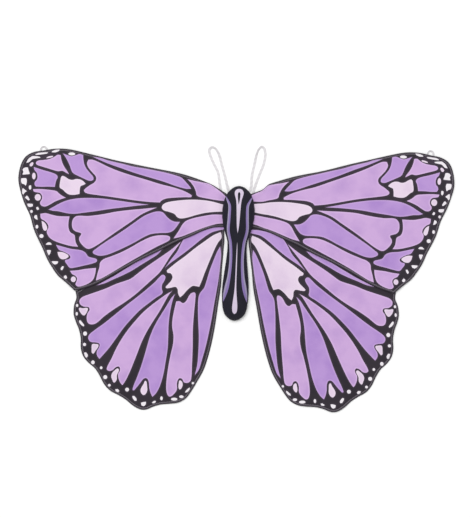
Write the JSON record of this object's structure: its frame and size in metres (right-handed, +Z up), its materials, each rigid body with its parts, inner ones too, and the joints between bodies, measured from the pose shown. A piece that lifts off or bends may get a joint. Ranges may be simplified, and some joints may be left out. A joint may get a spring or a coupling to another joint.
{
  "type": "fairy wings",
  "caption": "Soft monarch-pattern butterfly costume wings with a stuffed body, elastic shoulder straps and finger loops at the wing tips.",
  "frame": {"origin": "middle of the surface the wings lie on, on the body's centre line, half way between the tops of the straps and the bottoms of the hindwings", "axes": "+Z up out of the printed faces, +Y towards the head and the straps, +X across to the right wing as seen from the printed side"},
  "size_m": [0.944, 0.5697, 0.0336],
  "materials": {
    "wing_print": "printed polyester satin, soft sheen",
    "wing_lining": "the same printed satin",
    "print_black": "black of the print, on satin",
    "print_lilac": "lilac of the print, on satin",
    "print_violet": "violet of the print, on satin",
    "print_pale": "pale pink of the print, on satin",
    "print_white": "white of the print, on satin",
    "fleece": "matt white polyester fleece and fibre fill",
    "body_plush": "short-pile navy plush",
    "elastic": "white knitted elastic",
    "thread": "dark sewing thread",
    "label": "blank white woven label"
  },
  "bodies": {
    "root": {"body_back_panel": "body_plush", "body_front_panel": "body_plush", "body_stuffing": "fleece", "right_strap_upper_tack": "elastic", "right_strap_lower_tack": "elastic", "left_strap_upper_tack": "elastic", "left_strap_lower_tack": "elastic"},
    "right_forewing": {"right_forewing_lining": "wing_lining", "right_forewing_interlining": "fleece", "right_forewing_front": "wing_print", "right_finger_loop_tack": "elastic"},
    "left_forewing": {"left_forewing_lining": "wing_lining", "left_forewing_interlining": "fleece", "left_forewing_front": "wing_print", "left_finger_loop_tack": "elastic"},
    "right_hindwing": {"right_hindwing_lining": "wing_lining", "right_hindwing_interlining": "fleece", "right_hindwing_front": "wing_print"},
    "left_hindwing": {"left_hindwing_lining": "wing_lining", "left_hindwing_interlining": "fleece", "left_hindwing_front": "wing_print"},
    "right_strap": {"right_shoulder_strap": "elastic"},
    "left_strap": {"left_shoulder_strap": "elastic"},
    "right_tip_loop": {"right_finger_loop": "elastic"},
    "left_tip_loop": {"left_finger_loop": "elastic"},
    "label": {"care_label": "label"}
  },
  "joints": [
    {"name": "right_forewing_flap", "type": "hinge", "parent": "root", "child": "right_forewing", "pos_m": [0.0385, 0.15, 0.003], "axis": [0, -1, 0], "range_deg": [-60, 85]},
    {"name": "left_forewing_flap", "type": "hinge", "parent": "root", "child": "left_forewing", "pos_m": [-0.0385, 0.15, 0.003], "axis": [0, 1, 0], "range_deg": [-60, 85]},
    {"name": "right_hindwing_drop", "type": "hinge", "parent": "right_forewing", "child": "right_hindwing", "pos_m": [0.0385, 0.1, 0.003], "axis": [0, -1, 0], "range_deg": [-28, 0]},
    {"name": "left_hindwing_drop", "type": "hinge", "parent": "left_forewing", "child": "left_hindwing", "pos_m": [-0.0385, 0.1, 0.003], "axis": [0, 1, 0], "range_deg": [-28, 0]},
    {"name": "right_strap_swing", "type": "hinge", "parent": "root", "child": "right_strap", "pos_m": [0.0098, 0.11, 0.001], "axis": [0, 1, 0], "range_deg": [0, 85]},
    {"name": "left_strap_swing", "type": "hinge", "parent": "root", "child": "left_strap", "pos_m": [-0.0098, 0.11, 0.001], "axis": [0, -1, 0], "range_deg": [0, 85]},
    {"name": "right_finger_loop_swing", "type": "hinge", "parent": "right_forewing", "child": "right_tip_loop", "pos_m": [0.418, 0.262, 0], "axis": [-1, 0, 0], "range_deg": [0, 120]},
    {"name": "left_finger_loop_swing", "type": "hinge", "parent": "left_forewing", "child": "left_tip_loop", "pos_m": [-0.418, 0.262, 0], "axis": [-1, 0, 0], "range_deg": [0, 120]},
    {"name": "label_flip", "type": "hinge", "parent": "root", "child": "label", "pos_m": [0, -0.018, 0.0006], "axis": [1, 0, 0], "range_deg": [0, 150]}
  ]
}
